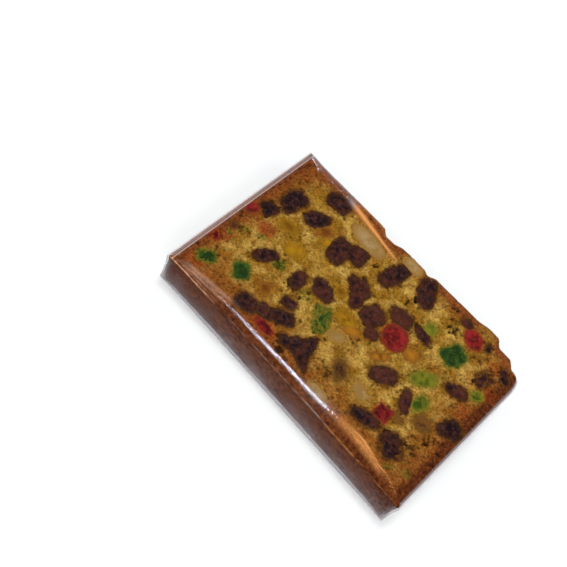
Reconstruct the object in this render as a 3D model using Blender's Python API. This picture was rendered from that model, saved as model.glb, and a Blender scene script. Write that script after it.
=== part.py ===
"""A slice of fruit cake sealed in clear film, modelled as the one solid that the film encloses.

The slice lies on a cut face. +X runs along its long side, which is the loaf's width. +Y runs from the
loaf's base crust to its uneven top crust, and +Z is up through the slice's thickness. The origin is the
middle of the bounding box's floor. Units are metres.
"""

import math

import bmesh
import bpy

MM = 0.001

# The slice
LENGTH = 106.4 * MM  # the loaf's width, from the film's crease at one end to its crease at the other
THICKNESS = 16.0 * MM  # from the floor to the upper cut face
RISE = 66.0 * MM  # from the base crust to the level about which the top crust is uneven

# The top crust's profile: (distance along the slice, height above RISE)
CREST = [
    (0.0 * MM, 0.6 * MM),
    (37.0 * MM, 1.4 * MM),
    (40.0 * MM, -0.6 * MM),
    (43.0 * MM, -0.4 * MM),
    (47.0 * MM, 1.0 * MM),
    (57.0 * MM, 0.9 * MM),
    (59.0 * MM, 0.2 * MM),
    (62.5 * MM, 1.7 * MM),
    (81.0 * MM, 2.4 * MM),
    (87.0 * MM, 3.9 * MM),
    (90.5 * MM, 3.7 * MM),
    (93.5 * MM, 0.8 * MM),
    (98.0 * MM, 0.8 * MM),
    (101.5 * MM, -1.8 * MM),
    (LENGTH, -2.8 * MM),
]
LOWER_SHIFT = 2.5 * MM  # the profile has moved along by this much at the lower cut face
LOWER_SHARE = 0.7  # and its unevenness is this share of the upper one
CORNER_CUT = 2.4 * MM  # how far the loaf's worn top corner is rounded off
CORNER_REACH = 6.0 * MM  # how far down the end that rounding runs

# The film
BASE_PULL = 1.1 * MM  # how far its upper crease is pulled in over the middle of the base crust
WAIST = 0.9 * MM  # how far it is drawn in half way up a side
BASE_DROP = 1.2 * MM  # how far the crease hangs below the cut face over the middle of the base crust
BASE_SLOPE = 5.0 * MM  # how far inboard of that crease the film still slopes
END_DROP = 0.5 * MM
END_SLOPE = 2.4 * MM
BRIDGE_DROP = 0.9 * MM
BRIDGE_SLOPE = 5.5 * MM
BRIDGE_LENGTH = 38.0 * MM  # the film bridges a hollow in the top crust over this length
FOOT_RADIUS = 0.7 * MM  # the turn under the slice

# Mesh density
CELLS_LONG = 52
CELLS_SHORT = 24
SIDE_RINGS = 6
FOOT_RINGS = 3


def eased(t):
    """0 below 0, 1 above 1, and an eased rise between them."""
    t = min(1.0, max(0.0, t))
    return t * t * (3.0 - 2.0 * t)


def unevenness(x):
    """Height of the upper cut face's top crust above RISE."""
    for (x0, h0), (x1, h1) in zip(CREST, CREST[1:]):
        if x <= x1:
            return h0 + (h1 - h0) * eased((x - x0) / (x1 - x0))
    return CREST[-1][1]


def crest(x, depth):
    """Height of the top crust above the base crust. Depth is 0 at the upper cut face and 1 at the floor."""
    share = 1.0 + (LOWER_SHARE - 1.0) * depth
    return RISE + share * unevenness(x + LOWER_SHIFT * depth)


def bow(x):
    """0 at both ends of the slice and 1 mid way, as a stretched film sags between its corners."""
    return math.sin(math.pi * min(1.0, max(0.0, x / LENGTH))) ** 0.6


def end_x(y, top):
    """Where the slice's far end is at height y: straight, then rounded off below its top corner."""
    reach = min(1.0, max(0.0, 1.0 - (top - y) / CORNER_REACH))
    return LENGTH - CORNER_CUT * (1.0 - math.sqrt(1.0 - reach * reach))


def plan_point(u, v, depth):
    """Plan position of the film for u, v from 0 to 1, as a patch stretched between the slice's four sides."""
    top = crest(LENGTH, depth)
    x = u * end_x(v * top, top)
    base = BASE_PULL * bow(x) * (1.0 - depth)
    return x, base + v * (crest(x, depth) - base)


def mixed(low, high, share):
    """The value that lies this share of the way from low to high."""
    return low + (high - low) * share


def film_height(x, y):
    """Height of the film over the upper cut face, where it lies flat, and over its slopes to its creases."""
    sag = bow(x)
    bridge = eased(x / (0.3 * BRIDGE_LENGTH)) * eased((BRIDGE_LENGTH - x) / (0.2 * BRIDGE_LENGTH))
    to_base = y - BASE_PULL * sag
    to_crest = crest(x, 0.0) - y
    to_far_end = end_x(y, crest(LENGTH, 0.0)) - x
    slopes = [
        (to_base, mixed(END_SLOPE, BASE_SLOPE, sag), mixed(END_DROP, BASE_DROP, sag)),
        (to_crest, mixed(END_SLOPE, BRIDGE_SLOPE, bridge), mixed(END_DROP, BRIDGE_DROP, bridge)),
        (x, END_SLOPE, END_DROP),
        (to_far_end, END_SLOPE, END_DROP),
    ]
    drop = max(depth * max(0.0, 1.0 - max(0.0, gap) / reach) ** 2 for gap, reach, depth in slopes)
    return THICKNESS - drop


def border_cells():
    """The grid's border corners in order, anticlockwise seen from above."""
    cells = [(i, 0) for i in range(CELLS_LONG)]
    cells += [(CELLS_LONG, j) for j in range(CELLS_SHORT)]
    cells += [(i, CELLS_SHORT) for i in range(CELLS_LONG, 0, -1)]
    cells += [(0, j) for j in range(CELLS_SHORT, 0, -1)]
    return cells


def drawn_in(x, y, inset):
    """The point moved in from the sides by inset. It moves less near a corner, where the film is held out."""
    across = 2.0 * x / LENGTH - 1.0
    upward = 2.0 * y / RISE - 1.0
    hold_x = 1.0 - 0.6 * min(1.0, abs(upward)) ** 6
    hold_y = 1.0 - 0.6 * min(1.0, abs(across)) ** 6
    return x - inset * hold_x * across**5, y - inset * hold_y * upward**5


def side_levels(crease_height):
    """(height, inset) of each ring of the side, from just under the crease down to the floor."""
    levels = []
    for k in range(1, SIDE_RINGS + 1):
        t = k / SIDE_RINGS
        height = crease_height + (FOOT_RADIUS - crease_height) * t
        levels.append((height, WAIST * math.sin(math.pi * t)))
    for k in range(1, FOOT_RINGS + 1):
        turn = math.pi / 2 * k / FOOT_RINGS
        levels.append((FOOT_RADIUS * (1.0 - math.sin(turn)), FOOT_RADIUS * (1.0 - math.cos(turn))))
    return levels


def add_top(mesh):
    """Adds the film's top as a grid of quads and gives its corners by cell."""
    grid = {}
    for i in range(CELLS_LONG + 1):
        for j in range(CELLS_SHORT + 1):
            x, y = plan_point(i / CELLS_LONG, j / CELLS_SHORT, 0.0)
            grid[i, j] = mesh.verts.new((x, y, film_height(x, y)))
    for i in range(CELLS_LONG):
        for j in range(CELLS_SHORT):
            mesh.faces.new((grid[i, j], grid[i + 1, j], grid[i + 1, j + 1], grid[i, j + 1]))
    return grid


def add_sides_and_floor(mesh, grid):
    """Adds rings of quads down from the top's border, and closes them with the flat underside."""
    cells = border_cells()
    ring = [grid[cell] for cell in cells]
    columns = [side_levels(vert.co.z) for vert in ring]
    for level in range(SIDE_RINGS + FOOT_RINGS):
        lower = []
        for (i, j), column in zip(cells, columns):
            height, inset = column[level]
            x, y = plan_point(i / CELLS_LONG, j / CELLS_SHORT, 1.0 - height / THICKNESS)
            lower.append(mesh.verts.new((*drawn_in(x, y, inset), height)))
        for k in range(len(ring)):
            after = (k + 1) % len(ring)
            mesh.faces.new((ring[k], lower[k], lower[after], ring[after]))
        ring = lower
    mesh.faces.new(list(reversed(ring)))


def centre_on_origin(mesh):
    """Moves the mesh so that the middle of its bounding box's floor is the origin."""
    xs = [vert.co.x for vert in mesh.verts]
    ys = [vert.co.y for vert in mesh.verts]
    to_middle = (-(min(xs) + max(xs)) / 2, -(min(ys) + max(ys)) / 2, 0.0)
    bmesh.ops.translate(mesh, verts=mesh.verts, vec=to_middle)


def film_material():
    """Clear film over brown cake, as one plain colour."""
    material = bpy.data.materials.new("film_over_cake")
    material.use_nodes = True
    shader = material.node_tree.nodes["Principled BSDF"]
    shader.inputs["Base Color"].default_value = (0.34, 0.20, 0.06, 1.0)
    shader.inputs["Roughness"].default_value = 0.25
    shader.inputs["Metallic"].default_value = 0.0
    return material


def main():
    """Clears the scene and builds the wrapped slice."""
    for old in list(bpy.data.objects):
        bpy.data.objects.remove(old)
    mesh = bmesh.new()
    grid = add_top(mesh)
    add_sides_and_floor(mesh, grid)
    centre_on_origin(mesh)
    bmesh.ops.triangulate(mesh, faces=mesh.faces[:])
    bmesh.ops.recalc_face_normals(mesh, faces=mesh.faces[:])
    data = bpy.data.meshes.new("wrapped_slice")
    mesh.to_mesh(data)
    mesh.free()
    data.materials.append(film_material())
    data.shade_smooth()
    data.set_sharp_from_angle(angle=math.radians(45.0))
    wrapped_slice = bpy.data.objects.new("wrapped_slice", data)
    bpy.context.scene.collection.objects.link(wrapped_slice)


main()
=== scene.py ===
"""Looks of a slice of fruit cake sealed in clear film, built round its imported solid.

The solid is replaced by what it stands for: a shell of film, the cake inside it, and the fruit that the
knife cut through. Lengths inside the classes are millimetres in the slice's own frame, whose corner is the
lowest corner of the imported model's box: x along the loaf's width, y from its base crust to its top crust
and z up through the slice.
"""

import itertools
import logging
import math
from collections.abc import Iterator, Sequence
from dataclasses import dataclass, field, replace
from enum import Enum
from functools import partial

import bpy
import numpy as np
from mathutils import Matrix, Quaternion, Vector
from mathutils.kdtree import KDTree


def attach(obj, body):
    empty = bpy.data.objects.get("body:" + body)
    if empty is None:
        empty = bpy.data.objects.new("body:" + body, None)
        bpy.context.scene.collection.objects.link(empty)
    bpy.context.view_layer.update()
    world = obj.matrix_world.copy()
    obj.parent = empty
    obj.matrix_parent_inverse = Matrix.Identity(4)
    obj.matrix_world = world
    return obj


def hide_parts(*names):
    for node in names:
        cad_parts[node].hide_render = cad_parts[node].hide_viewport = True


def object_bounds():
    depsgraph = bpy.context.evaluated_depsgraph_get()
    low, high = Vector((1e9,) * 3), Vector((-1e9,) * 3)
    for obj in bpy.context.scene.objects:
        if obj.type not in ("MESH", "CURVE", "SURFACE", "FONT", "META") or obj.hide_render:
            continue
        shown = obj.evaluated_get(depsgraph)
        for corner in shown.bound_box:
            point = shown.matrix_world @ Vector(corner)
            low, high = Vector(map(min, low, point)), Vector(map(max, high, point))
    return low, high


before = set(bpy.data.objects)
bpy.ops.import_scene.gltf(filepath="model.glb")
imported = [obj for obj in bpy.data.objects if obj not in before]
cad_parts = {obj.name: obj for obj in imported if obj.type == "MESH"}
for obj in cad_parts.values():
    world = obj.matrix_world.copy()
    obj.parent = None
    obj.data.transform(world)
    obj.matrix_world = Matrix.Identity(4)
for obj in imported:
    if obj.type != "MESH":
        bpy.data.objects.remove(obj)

Colour = tuple[float, float, float, float]
Values = np.ndarray | float

MM = 0.001
NODE = "wrapped_slice"
BODY = "root"
LOG = logging.getLogger("fruit_cake_slice")
CAD_LOW, CAD_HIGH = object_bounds()

# What turns a noise's cells into values without a pattern: large primes, bit shifts with odd factors, and
# how far each noise is moved off the one before
CELL_FACTORS = np.array([73856093, 19349663, 83492791], dtype=np.int64)
SEED_FACTOR = 2654435761
HASH_STEPS = ((13, 1274126177), (16, 2246822519))
LOW_BITS = 0xFFFFFFFF
SEED_SHIFT = 0.37


# ----------------------------------------------------------------------------------------------- numbers


def eased(t: Values) -> Values:
    """Gives 0 below 0, 1 above 1 and an eased rise between them."""
    t = np.clip(t, 0.0, 1.0)
    return t * t * (3.0 - 2.0 * t)


def mixed(low: Values, high: Values, share: Values) -> Values:
    """Gives the value that lies this share of the way from low to high."""
    return low + (high - low) * share


def window(x: Values, start: float, rise: float, end: float, fall: float) -> Values:
    """Gives 1 from start + rise to end - fall and 0 outside start and end, eased between them."""
    return eased((x - start) / rise) * eased((end - x) / fall)


def band(away: Values, width: Values) -> Values:
    """Gives 1 in the middle of a band, fading to a third at this width away from it."""
    return np.exp(-((away / width) ** 2))


def columns(*values: Values) -> np.ndarray:
    """Puts values side by side as columns, with a lone number repeated all the way down."""
    return np.stack(np.broadcast_arrays(*values), axis=1)


def along(points: Sequence[Sequence[float]], x: np.ndarray) -> list[np.ndarray]:
    """Reads a profile given by a few points, with an eased step between one and the next.

    Args:
        points: Rows of a distance and the values there.
        x: Distances at which the profile is read.

    Returns:
        One array for each value.
    """
    table = np.array(points)
    k = np.clip(np.searchsorted(table[:, 0], x, side="left") - 1, 0, len(table) - 2)
    share = eased((x - table[k, 0]) / (table[k + 1, 0] - table[k, 0]))
    return [mixed(table[k, c], table[k + 1, c], share) for c in range(1, table.shape[1])]


def lattice_values(cells: np.ndarray, seed: int) -> np.ndarray:
    """Gives each whole-number cell its own fixed value.

    Args:
        cells: Integer coordinates, one row for each cell.
        seed: Which of the endless set of lattices is read.

    Returns:
        A value from -1 to 1 for each row.
    """
    bits = (cells * CELL_FACTORS).sum(axis=1) + seed * SEED_FACTOR
    for shift, factor in HASH_STEPS:
        bits = (bits ^ (bits >> shift)) * factor & LOW_BITS
    return bits / (LOW_BITS >> 1) - 1.0


def swell(points: np.ndarray, size: float, seed: int) -> np.ndarray:
    """Smooth noise over space.

    Args:
        points: Positions in millimetres, one row each.
        size: Length of one swell in millimetres.
        seed: Which noise.

    Returns:
        A value from -1 to 1 for each point.
    """
    scaled = points / size + SEED_SHIFT * seed
    cells = np.floor(scaled).astype(np.int64)
    rise = eased(scaled - cells)
    total = np.zeros(len(points))
    for corner in itertools.product((0, 1), repeat=3):
        steps = np.array(corner)
        weight = np.prod(np.where(steps == 1, rise, 1.0 - rise), axis=1)
        total += weight * lattice_values(cells + steps, seed)
    return total


def unevenness(points: np.ndarray, waves: Sequence[tuple[float, float, int]]) -> np.ndarray:
    """Depth of a surface below its highest points, from rows of each noise's depth, length and number."""
    return sum(deep * (1.0 + swell(points, size, seed)) for deep, size, seed in waves)


def linear(hex_colour: str) -> Colour:
    """Turns an sRGB colour into a linear one, by the sRGB standard's curve.

    Args:
        hex_colour: Six hex digits, such as "a06030".

    Returns:
        Its linear RGBA values.
    """
    channels = [int(hex_colour[k : k + 2], 16) / 255.0 for k in (0, 2, 4)]
    lit = [c / 12.92 if c <= 0.04045 else ((c + 0.055) / 1.055) ** 2.4 for c in channels]
    return (*lit, 1.0)


# ------------------------------------------------------------------------------------------------ shapes


@dataclass(frozen=True)
class Inset:
    """How far a shell lies inside the film's outline, on each side of the slice."""

    start: float = 0.0
    end: float = 0.0
    base: float = 0.0
    crest: float = 0.0
    bridge: float = 0.0  # more at the crest, where the film spans a hollow


@dataclass(frozen=True)
class WrapShape:
    """The form of the film: the loaf's uneven outline, its slopes and its drawn-in sides."""

    length: float
    thickness: float
    rise: float = 66.0
    # Distance along the slice, and how much higher than the rise the top crust is there
    crest_points: tuple[tuple[float, float], ...] = (
        (0.0, 1.1), (37.0, 1.9), (40.0, -0.1), (43.0, 0.1), (47.0, 1.4), (57.0, 1.3), (59.0, 0.6),
        (62.5, 2.1), (81.0, 2.7), (87.0, 3.85), (90.5, 3.8), (93.5, 1.2), (98.0, 1.2), (101.5, -1.4),
        (106.4, -2.4),
    )
    lower_shift: float = 2.5  # at the floor, how far along the same crust lies
    lower_share: float = 0.7  # and how uneven it still is
    corner_cut: float = 2.4
    corner_reach: float = 6.0
    base_pull: float = 1.1
    bow_power: float = 0.6
    waist: float = 0.9
    hold: float = 0.92  # how much of the waist is lost at a corner
    hold_power: int = 6
    waist_power: int = 5
    bridge_length: float = 38.0
    end_slope: float = 2.4
    end_drop: float = 0.5
    # Distance along the slice, how far inboard the film still slopes, and how far its crease hangs down
    base_sag: tuple[tuple[float, float, float], ...] = (
        (0.0, 1.6, 0.5), (22.0, 4.6, 1.1), (62.0, 5.0, 1.2), (83.0, 6.6, 1.5), (95.0, 4.6, 1.1),
        (106.4, 1.6, 0.5),
    )
    crest_sag: tuple[tuple[float, float, float], ...] = (
        (0.0, 1.6, 0.5), (8.0, 4.0, 0.9), (25.0, 3.4, 0.9), (36.0, 4.8, 0.9), (46.0, 6.0, 0.9),
        (52.0, 2.4, 0.2),
    )

    def crest(self, x: np.ndarray, depth: Values) -> np.ndarray:
        """Height of the top crust above the base crust.

        Args:
            x: Distances along the slice.
            depth: 0 at the upper cut face and 1 at the floor.

        Returns:
            The heights, one for each x.
        """
        (uneven,) = along(self.crest_points, np.clip(x + self.lower_shift * depth, 0.0, self.length))
        return self.rise + uneven * (1.0 + (self.lower_share - 1.0) * depth)

    def base(self, x: np.ndarray, depth: Values) -> np.ndarray:
        """How far the stretched film has sagged in from the base crust, most mid way and at the top."""
        bow = np.sin(np.pi * np.clip(x / self.length, 0.0, 1.0)) ** self.bow_power
        return self.base_pull * bow * (1.0 - depth)

    def bridge(self, x: np.ndarray) -> np.ndarray:
        """1 where the film spans the hollow in the top crust and 0 elsewhere."""
        span = self.bridge_length
        return window(x, 0.0, 0.3 * span, span, 0.2 * span)

    def end_x(self, y: np.ndarray, top: np.ndarray) -> np.ndarray:
        """Where the far end is at height y: straight, then rounded off below its top corner."""
        reach = np.clip(1.0 - (top - y) / self.corner_reach, 0.0, 1.0)
        return self.length - self.corner_cut * (1.0 - np.sqrt(1.0 - reach * reach))

    def plan(self, u: np.ndarray, v: np.ndarray, depth: Values, inset: Inset) -> np.ndarray:
        """Plan positions of a patch stretched between the slice's four sides.

        Args:
            u: Share of the way along the slice, 0 to 1.
            v: Share of the way from the base crust to the top crust.
            depth: 0 at the upper cut face and 1 at the floor.
            inset: How far inside the film's outline the patch lies.

        Returns:
            One row of x and y for each u and v.
        """
        top = self.crest(np.full_like(u, self.length), depth)
        x = inset.start + u * (self.end_x(v * top, top) - inset.end - inset.start)
        low = self.base(x, depth) + inset.base
        high = self.crest(x, depth) - inset.crest - inset.bridge * self.bridge(x)
        return columns(x, low + v * (high - low))

    def top_height(self, x: np.ndarray, y: np.ndarray) -> np.ndarray:
        """Height of the film over the upper cut face and over its slopes down to its creases.

        Args:
            x: Positions along the slice.
            y: Positions from its base crust towards its top crust.

        Returns:
            The heights above the floor.
        """
        crest = self.crest(x, 0.0)
        far_top = self.crest(np.full_like(x, self.length), 0.0)
        slopes = (
            (y - self.base(x, 0.0), *along(self.base_sag, x)),
            (crest - y, *along(self.crest_sag, np.minimum(x, self.crest_sag[-1][0]))),
            (x, self.end_slope, self.end_drop),
            (self.end_x(y, far_top) - x, self.end_slope, self.end_drop),
        )
        drop = np.zeros_like(x)
        for gap, reach, deep in slopes:
            share = np.clip(1.0 - np.maximum(gap, 0.0) / reach, 0.0, 1.0)
            drop = np.maximum(drop, deep * share**2)
        return self.thickness - drop

    def drawn_in(self, plan: np.ndarray, inset: Values) -> np.ndarray:
        """Moves plan positions in from the sides, and less near a corner, where the film is held out.

        Args:
            plan: The positions, one row each.
            inset: How far in the middle of each side moves.

        Returns:
            The moved positions.
        """
        across = 2.0 * plan[:, 0] / self.length - 1.0
        upward = 2.0 * plan[:, 1] / self.rise - 1.0
        moved = []
        for way, other in ((across, upward), (upward, across)):
            held = self.hold * np.minimum(1.0, np.abs(other)) ** self.hold_power
            moved.append(inset * (1.0 - held) * way**self.waist_power)
        return plan - columns(*moved)


def border_cells(long: int, short: int) -> list[tuple[int, int]]:
    """The grid's border corners in order, anticlockwise seen from above.

    Args:
        long: How many cells the grid has along the slice.
        short: How many it has across.

    Returns:
        Each corner's number along and across.
    """
    cells = [(i, 0) for i in range(long)]
    cells += [(long, j) for j in range(short)]
    cells += [(i, short) for i in range(long, 0, -1)]
    cells += [(0, j) for j in range(short, 0, -1)]
    return cells


@dataclass
class Slab:
    """A closed mesh of two grids, top and bottom, joined by rings round their borders.

    After halve(), the rings and the grid have half as many cells along each side as those before.
    """

    u: np.ndarray
    v: np.ndarray
    points: list[np.ndarray] = field(default_factory=list)
    faces: list[list[int]] = field(default_factory=list)
    count: int = 0

    def __post_init__(self) -> None:
        """Lays out the upper grid."""
        self._lay_out()

    def _lay_out(self) -> None:
        """Works out the grid's parameters and the order of its border."""
        self.long, self.short = len(self.u) - 1, len(self.v) - 1
        u_grid, v_grid = np.meshgrid(self.u, self.v, indexing="ij")
        self.grid_u, self.grid_v = u_grid.ravel(), v_grid.ravel()
        cells = np.array(border_cells(self.long, self.short))
        self.border = cells[:, 0] * (self.short + 1) + cells[:, 1]
        self.border_u, self.border_v = self.grid_u[self.border], self.grid_v[self.border]

    def _add(self, points: np.ndarray) -> int:
        """Adds points to the mesh.

        Args:
            points: Their positions, one row each.

        Returns:
            How many points there were before them.
        """
        first = self.count
        self.points.append(points)
        self.count += len(points)
        return first

    def _add_grid(self, points: np.ndarray, upward: bool) -> int:
        """Adds a grid of points with its quads.

        Args:
            points: The grid's points, in the order of grid_u and grid_v.
            upward: Whether its faces look up.

        Returns:
            The index of its first point.
        """
        first = self._add(points)
        i, j = np.meshgrid(np.arange(self.long), np.arange(self.short), indexing="ij")
        a = (first + i * (self.short + 1) + j).ravel()
        quads = columns(a, a + self.short + 1, a + self.short + 2, a + 1)
        self.faces += (quads if upward else quads[:, ::-1]).tolist()
        return first

    def add_top(self, points: np.ndarray) -> None:
        """Adds the upper grid's points, in the order of grid_u and grid_v."""
        self._add_grid(points, True)
        self.ring = self.border.copy()

    def halve(self) -> None:
        """Makes the rings and the grid from here on half as dense."""
        self.u, self.v = self.u[::2], self.v[::2]
        self._lay_out()

    def _join(self, ring: np.ndarray) -> None:
        """Joins the last ring to a lower one, which is then the last.

        Args:
            ring: Indices of the lower ring's points, as many as in the last one or half as many.
        """
        step = len(self.ring) // len(ring)
        back = [np.roll(self.ring, -k)[::step] for k in range(step, 0, -1)]
        self.faces += columns(self.ring[::step], ring, np.roll(ring, -1), *back).tolist()
        self.ring = ring

    def add_ring(self, points: np.ndarray) -> None:
        """Adds one ring of points below the last one."""
        self._join(self._add(points) + np.arange(len(points)))

    def add_bottom(self, points: np.ndarray) -> None:
        """Adds the lower grid and closes the mesh."""
        self._join(self._add_grid(points, False) + self.border)

    def arrays(self) -> tuple[np.ndarray, list[list[int]]]:
        """All points and all faces."""
        return np.concatenate(self.points), self.faces


def to_row_frame(points: np.ndarray) -> np.ndarray:
    """Turns millimetres in the slice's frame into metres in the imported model's frame."""
    return points * MM + np.array(CAD_LOW)


def new_piece(name: str, points: np.ndarray, faces: list[list[int]]) -> bpy.types.Object:
    """Makes a smooth-shaded piece that rides with the slice.

    Args:
        name: The piece's name.
        points: Its points in millimetres, in the slice's frame.
        faces: Indices of each face's corners.

    Returns:
        The new object, linked to the scene.
    """
    mesh = bpy.data.meshes.new(name)
    mesh.from_pydata(to_row_frame(points).tolist(), [], faces)
    mesh.validate()
    mesh.shade_smooth()
    piece = bpy.data.objects.new(name, mesh)
    bpy.context.scene.collection.objects.link(piece)
    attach(piece, BODY)
    LOG.info("%s: %d points, %d faces", name, len(mesh.vertices), len(mesh.polygons))
    return piece


def add_attribute(piece: bpy.types.Object, name: str, colours: np.ndarray) -> None:
    """Stores one linear RGBA value for each point, for the material to read."""
    layer = piece.data.attributes.new(name, "FLOAT_COLOR", "POINT")
    layer.data.foreach_set("color", colours.astype(np.float32).ravel())


# ---------------------------------------------------------------------------------------------- finishes


def add(
    tree: bpy.types.NodeTree, kind: str, inputs: dict | None = None, **settings: object
) -> bpy.types.Node:
    """Adds a node with its settings and links.

    Args:
        tree: The node tree it goes into.
        kind: Blender's name of the node's type.
        inputs: Values, or sockets or nodes to link from, by the name or index of an input that is in use.
        settings: The node's own properties.

    Returns:
        The new node.
    """
    node = tree.nodes.new(kind)
    for key, value in settings.items():
        setattr(node, key, value)
    used = [socket for socket in node.inputs if socket.enabled]
    for key, value in (inputs or {}).items():
        socket = used[key] if isinstance(key, int) else next(s for s in used if s.name == key)
        if isinstance(value, bpy.types.Node):
            value = next(output for output in value.outputs if output.enabled)
        if isinstance(value, bpy.types.NodeSocket):
            tree.links.new(value, socket)
        else:
            socket.default_value = value
    return node


def empty_material(name: str) -> tuple[bpy.types.Material, partial, bpy.types.NodeSocket]:
    """Makes a material without a surface.

    Args:
        name: The material's name.

    Returns:
        The material, the function add for its tree, and its place in metres as a socket to link from.
    """
    material = bpy.data.materials.new(name)
    material.use_nodes = True
    material.node_tree.nodes.clear()
    node = partial(add, material.node_tree)
    return material, node, node("ShaderNodeTexCoord").outputs["Object"]


def per_metre(size_mm: float) -> float:
    """The scale of a texture whose features are this long, on coordinates in metres."""
    return 1.0 / (size_mm * MM)


@dataclass(frozen=True)
class BakedCrumb:
    """Butter cake crumb, creamed, baked and cut with a knife, with its browned crust.

    The eye reads open golden crumb, grainy and with pores darkened by painted shade, that turns orange brown
    and then red brown towards the crust. It is matt all over.
    """

    pale: str = "c29c48"
    golden: str = "926a1e"
    warm: str = "9a5418"
    deep: str = "5c380a"
    # also darkens the upper face a little towards its base crust, as painted shade
    toasted: str = "82481a"
    # painted shade: what pores and torn holes darken towards, the deeper the darker
    pore: str = "261304"
    crust_light: str = "8c4e25"
    crust_dark: str = "4a1f0d"
    patch_mm: float = 5.0
    tint_mm: float = 3.6
    clump_mm: float = 1.3
    grain_mm: float = 0.5  # real crumb grains are finer still, but these are as small as can be seen
    bump_mm: float = 0.3

    def build(self) -> bpy.types.Material:
        """Makes the material. It reads the attributes zones (crust, bake, painted pore shade, toast) and
        stain.

        Returns:
            The material, for the cake.
        """
        material, node, place = empty_material("baked_butter_cake_crumb")
        zones, stain = (node("ShaderNodeAttribute", attribute_name=name) for name in ("zones", "stain"))
        parts = node("ShaderNodeSeparateColor", {"Color": zones})
        patches, tints, clumps = (
            node("ShaderNodeTexNoise", {"Vector": place, "Scale": per_metre(size), "Detail": detail})
            for size, detail in ((self.patch_mm, 2.0), (self.tint_mm, 2.0), (self.clump_mm, 3.0))
        )
        uneven = node(
            "ShaderNodeMapRange",
            {"Value": clumps, "From Min": 0.3, "From Max": 0.7, "To Min": -0.35, "To Max": 0.35},
        )
        toast, bake = (
            node("ShaderNodeMath", {0: amount, 1: uneven}, operation="ADD", use_clamp=True)
            for amount in (zones.outputs["Alpha"], parts.outputs["Green"])
        )
        # A noise, where on it a tint sets in and is full, and how strong that tint is
        light, warmth, depth = (
            node("ShaderNodeMapRange", {"Value": noise, "From Min": none, "From Max": full, "To Max": most})
            for noise, none, full, most in (
                (patches, 0.41, 0.60, 1.0),
                (tints, 0.52, 0.70, 0.35),
                (clumps, 0.54, 0.34, 0.3),
            )
        )
        fine = {"Vector": place, "Scale": per_metre(self.grain_mm)}
        grains = node("ShaderNodeTexVoronoi", fine, feature="F1")
        grain = node("ShaderNodeSeparateColor", {"Color": grains.outputs["Color"]})
        shade = node("ShaderNodeMapRange", {"Value": grain.outputs["Red"], "To Min": 0.58, "To Max": 1.32})
        crust, body = linear(self.crust_light), linear(self.golden)
        crust = node(
            "ShaderNodeMix", {"Factor": bake, "A": crust, "B": linear(self.crust_dark)}, data_type="RGBA"
        )
        for share, colour in (
            (light, linear(self.pale)),
            (warmth, linear(self.warm)),
            (depth, linear(self.deep)),
            (toast, linear(self.toasted)),
            (parts.outputs["Red"], crust),
            (stain.outputs["Alpha"], stain),
        ):
            body = node("ShaderNodeMix", {"Factor": share, "A": body, "B": colour}, data_type="RGBA")
        body = node("ShaderNodeHueSaturation", {"Color": body, "Value": shade})
        # Painted shade in the pores and torn holes, by how deep they are
        pores = {"Factor": parts.outputs["Blue"], "A": body, "B": linear(self.pore)}
        body = node("ShaderNodeMix", pores, data_type="RGBA")
        height = node("ShaderNodeMath", {0: clumps, 1: grains.outputs["Distance"]}, operation="SUBTRACT")
        bump = node("ShaderNodeBump", {"Height": height, "Strength": 0.3, "Distance": self.bump_mm * MM})
        shader = node(
            "ShaderNodeBsdfPrincipled",
            {"Base Color": body, "Roughness": 0.85, "Normal": bump, "Specular IOR Level": 0.05},
        )
        node("ShaderNodeOutputMaterial", {"Surface": shader})
        return material


@dataclass(frozen=True)
class CandiedFruit:
    """Fruit or peel boiled in syrup or dried, then cut through: dense, translucent and moist.

    The eye reads a deep clear colour, different from piece to piece and merging into the crumb at the skin,
    with specks of crumb that the knife dragged over it. On the raisins these lilac specks are partly painted
    glints. The film lies on it, so it has hardly any gloss.
    """

    name: str
    deep: str
    light: str
    rim: str
    fleck: str
    fleck_share: float = 0.3
    rim_from: float = 0.62
    subsurface: float = 0.2
    cloud_mm: float = 2.2
    fleck_mm: float = 0.8
    bump: float = 0.15
    bump_mm: float = 0.2
    subsurface_mm: float = 1.0

    def build(self) -> bpy.types.Material:
        """Makes the material. It reads the attribute cut: how near the skin, and the piece's own tone.

        Returns:
            The material, for one kind of fruit.
        """
        material, node, place = empty_material(self.name)
        cut = node("ShaderNodeAttribute", attribute_name="cut")
        parts = node("ShaderNodeSeparateColor", {"Color": cut})
        clouds, flecks = (
            node("ShaderNodeTexNoise", {"Vector": place, "Scale": per_metre(size)})
            for size in (self.cloud_mm, self.fleck_mm)
        )
        uneven = node(
            "ShaderNodeMapRange",
            {"Value": clouds, "From Min": 0.38, "From Max": 0.62, "To Min": -0.42, "To Max": 0.42},
        )
        clouded = {0: parts.outputs["Green"], 1: uneven}
        tone = node("ShaderNodeMath", clouded, operation="ADD", use_clamp=True)
        skin, specks = (
            node("ShaderNodeMapRange", {"Value": value, "From Min": none, "From Max": full, "To Max": most})
            for value, none, full, most in (
                (parts.outputs["Red"], self.rim_from, 1.0, 0.9),
                (flecks, 0.54, 0.68, self.fleck_share),
            )
        )
        body = linear(self.deep)
        for share, colour in ((tone, self.light), (skin, self.rim), (specks, self.fleck)):
            body = node("ShaderNodeMix", {"Factor": share, "A": body, "B": linear(colour)}, data_type="RGBA")
        bump = node(
            "ShaderNodeBump", {"Height": flecks, "Strength": self.bump, "Distance": self.bump_mm * MM}
        )
        shader = node(
            "ShaderNodeBsdfPrincipled",
            {
                "Base Color": body,
                "Roughness": 0.5,
                "Normal": bump,
                "Specular IOR Level": 0.04,
                "Subsurface Weight": self.subsurface,
                "Subsurface Radius": (1.0, 0.6, 0.3),
                "Subsurface Scale": self.subsurface_mm * MM,
            },
        )
        node("ShaderNodeOutputMaterial", {"Surface": shader})
        return material


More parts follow.
